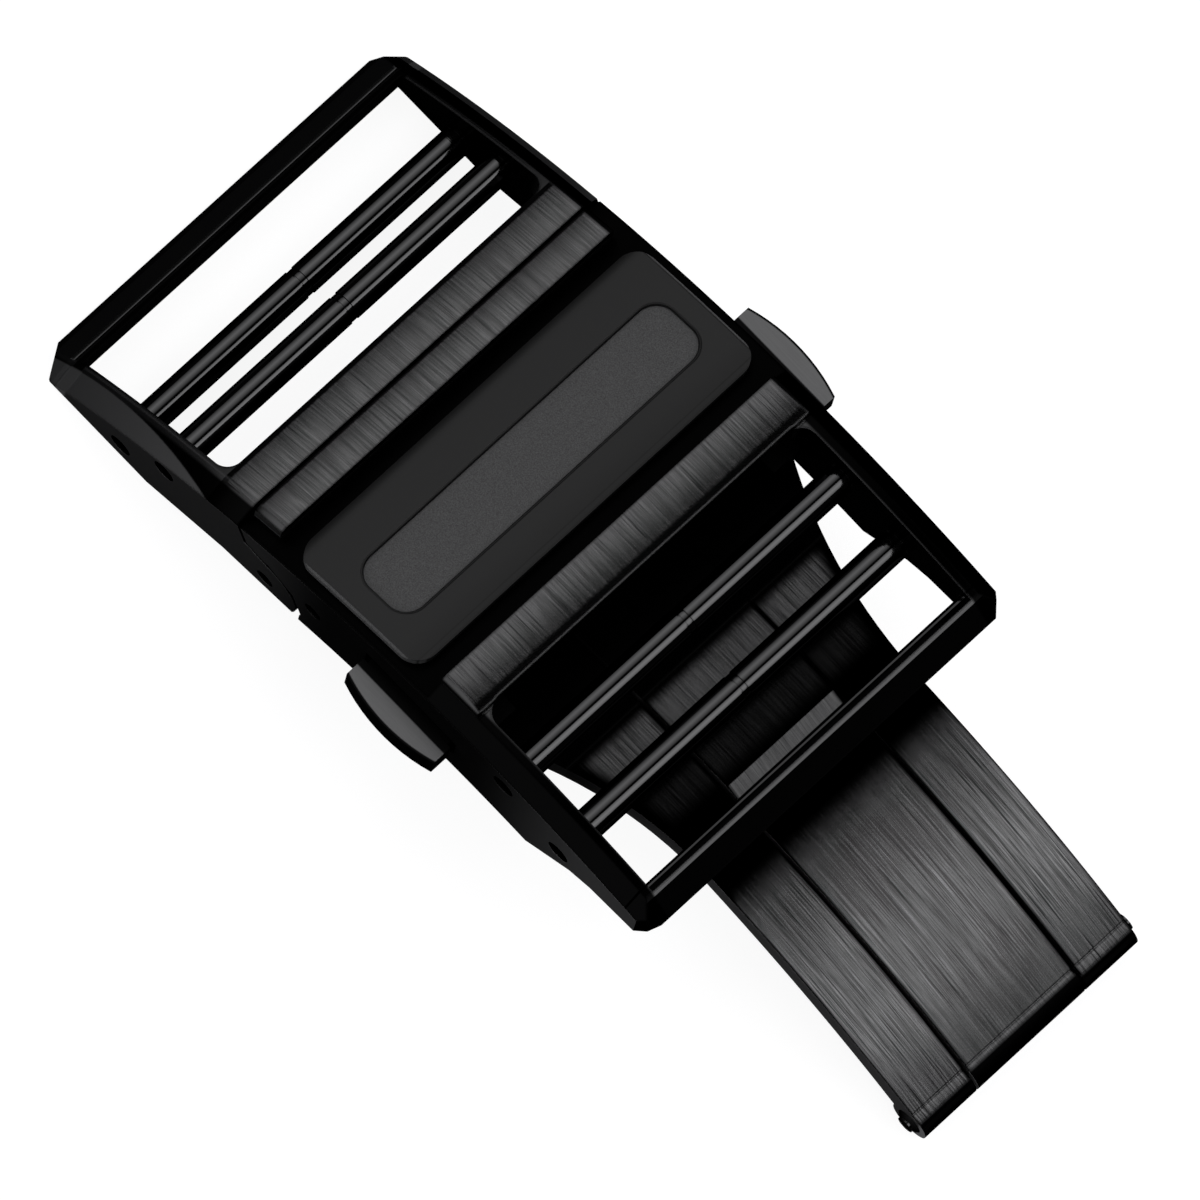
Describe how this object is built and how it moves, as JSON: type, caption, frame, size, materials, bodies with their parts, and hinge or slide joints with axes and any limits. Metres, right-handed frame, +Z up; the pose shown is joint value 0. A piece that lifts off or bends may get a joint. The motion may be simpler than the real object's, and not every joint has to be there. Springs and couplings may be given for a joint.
{
  "type": "watch strap buckle",
  "caption": "Arched folding watch-strap buckle: two open strap frames with cross bars, a bare plate, push buttons, and nested fork and tongue blades.",
  "frame": {"origin": "middle of the buckle's length and width, on the table that it rests on", "axes": "+X along the strap towards the folding hinge, +Y across the strap, +Z up away from the wrist"},
  "size_m": [0.0616, 0.0298, 0.0135],
  "materials": {
    "brushed_black_steel": "black coated, fine brushing",
    "gloss_black_steel": "black coated, polished",
    "matte_black_steel": "black coated, matt",
    "satin_black_steel": "black coated, satin",
    "spring_steel": "bare spring wire"
  },
  "bodies": {
    "outer_blade": {"outer_blade": "brushed_black_steel", "folding_hinge_pin": "gloss_black_steel"},
    "inner_blade": {"inner_blade": "brushed_black_steel"},
    "rear_frame": {"rear_strap_frame": "gloss_black_steel", "rear_frame_hinge_pin": "gloss_black_steel", "strap_bar_1_barrel": "gloss_black_steel", "strap_bar_1_spring": "spring_steel", "strap_bar_2_barrel": "gloss_black_steel", "strap_bar_2_spring": "spring_steel"},
    "cover": {"front_cover_frame": "brushed_black_steel", "cover_plate": "matte_black_steel", "cover_hinge_pin": "gloss_black_steel", "button_spring_left": "spring_steel", "button_spring_right": "spring_steel", "strap_bar_3_barrel": "gloss_black_steel", "strap_bar_3_spring": "spring_steel", "strap_bar_4_barrel": "gloss_black_steel", "strap_bar_4_spring": "spring_steel"},
    "button_left": {"push_button_left": "satin_black_steel"},
    "button_right": {"push_button_right": "satin_black_steel"},
    "strap_bar_1_tip_left": {"strap_bar_1_tip_left": "gloss_black_steel"},
    "strap_bar_1_tip_right": {"strap_bar_1_tip_right": "gloss_black_steel"},
    "strap_bar_2_tip_left": {"strap_bar_2_tip_left": "gloss_black_steel"},
    "strap_bar_2_tip_right": {"strap_bar_2_tip_right": "gloss_black_steel"},
    "strap_bar_3_tip_left": {"strap_bar_3_tip_left": "gloss_black_steel"},
    "strap_bar_3_tip_right": {"strap_bar_3_tip_right": "gloss_black_steel"},
    "strap_bar_4_tip_left": {"strap_bar_4_tip_left": "gloss_black_steel"},
    "strap_bar_4_tip_right": {"strap_bar_4_tip_right": "gloss_black_steel"}
  },
  "joints": [
    {"name": "folding_hinge", "type": "hinge", "parent": "outer_blade", "child": "inner_blade", "pos_m": [0.02958, 0, 0.0012], "axis": [0, 1, 0], "range_deg": [0, 165]},
    {"name": "cover_hinge", "type": "hinge", "parent": "inner_blade", "child": "cover", "pos_m": [-0.01038, 0, 0.00685], "axis": [0, -1, 0], "range_deg": [0, 165]},
    {"name": "rear_frame_hinge", "type": "hinge", "parent": "outer_blade", "child": "rear_frame", "pos_m": [-0.01372, 0, 0.0042], "axis": [0, -1, 0], "range_deg": [0, 90]},
    {"name": "button_left_press", "type": "slide", "parent": "cover", "child": "button_left", "axis": [0, -1, 0], "range_m": [0, 0.0008], "stiffness_N_per_m": 600, "springref_m": -0.0008, "deforming": ["button_spring_left"]},
    {"name": "button_right_press", "type": "slide", "parent": "cover", "child": "button_right", "axis": [0, 1, 0], "range_m": [0, 0.0008], "stiffness_N_per_m": 600, "springref_m": -0.0008, "deforming": ["button_spring_right"]},
    {"name": "strap_bar_1_tip_left_press", "type": "slide", "parent": "rear_frame", "child": "strap_bar_1_tip_left", "axis": [0, -1, 0], "range_m": [0, 0.001], "stiffness_N_per_m": 200, "springref_m": -0.001, "deforming": ["strap_bar_1_spring"]},
    {"name": "strap_bar_1_tip_right_press", "type": "slide", "parent": "rear_frame", "child": "strap_bar_1_tip_right", "axis": [0, 1, 0], "range_m": [0, 0.001], "stiffness_N_per_m": 200, "springref_m": -0.001, "deforming": ["strap_bar_1_spring"]},
    {"name": "strap_bar_2_tip_left_press", "type": "slide", "parent": "rear_frame", "child": "strap_bar_2_tip_left", "axis": [0, -1, 0], "range_m": [0, 0.001], "stiffness_N_per_m": 200, "springref_m": -0.001, "deforming": ["strap_bar_2_spring"]},
    {"name": "strap_bar_2_tip_right_press", "type": "slide", "parent": "rear_frame", "child": "strap_bar_2_tip_right", "axis": [0, 1, 0], "range_m": [0, 0.001], "stiffness_N_per_m": 200, "springref_m": -0.001, "deforming": ["strap_bar_2_spring"]},
    {"name": "strap_bar_3_tip_left_press", "type": "slide", "parent": "cover", "child": "strap_bar_3_tip_left", "axis": [0, -1, 0], "range_m": [0, 0.001], "stiffness_N_per_m": 200, "springref_m": -0.001, "deforming": ["strap_bar_3_spring"]},
    {"name": "strap_bar_3_tip_right_press", "type": "slide", "parent": "cover", "child": "strap_bar_3_tip_right", "axis": [0, 1, 0], "range_m": [0, 0.001], "stiffness_N_per_m": 200, "springref_m": -0.001, "deforming": ["strap_bar_3_spring"]},
    {"name": "strap_bar_4_tip_left_press", "type": "slide", "parent": "cover", "child": "strap_bar_4_tip_left", "axis": [0, -1, 0], "range_m": [0, 0.001], "stiffness_N_per_m": 200, "springref_m": -0.001, "deforming": ["strap_bar_4_spring"]},
    {"name": "strap_bar_4_tip_right_press", "type": "slide", "parent": "cover", "child": "strap_bar_4_tip_right", "axis": [0, 1, 0], "range_m": [0, 0.001], "stiffness_N_per_m": 200, "springref_m": -0.001, "deforming": ["strap_bar_4_spring"]}
  ],
  "couplings": [
    {"joint": "cover_hinge", "follows": "folding_hinge", "ratio": 1}
  ]
}
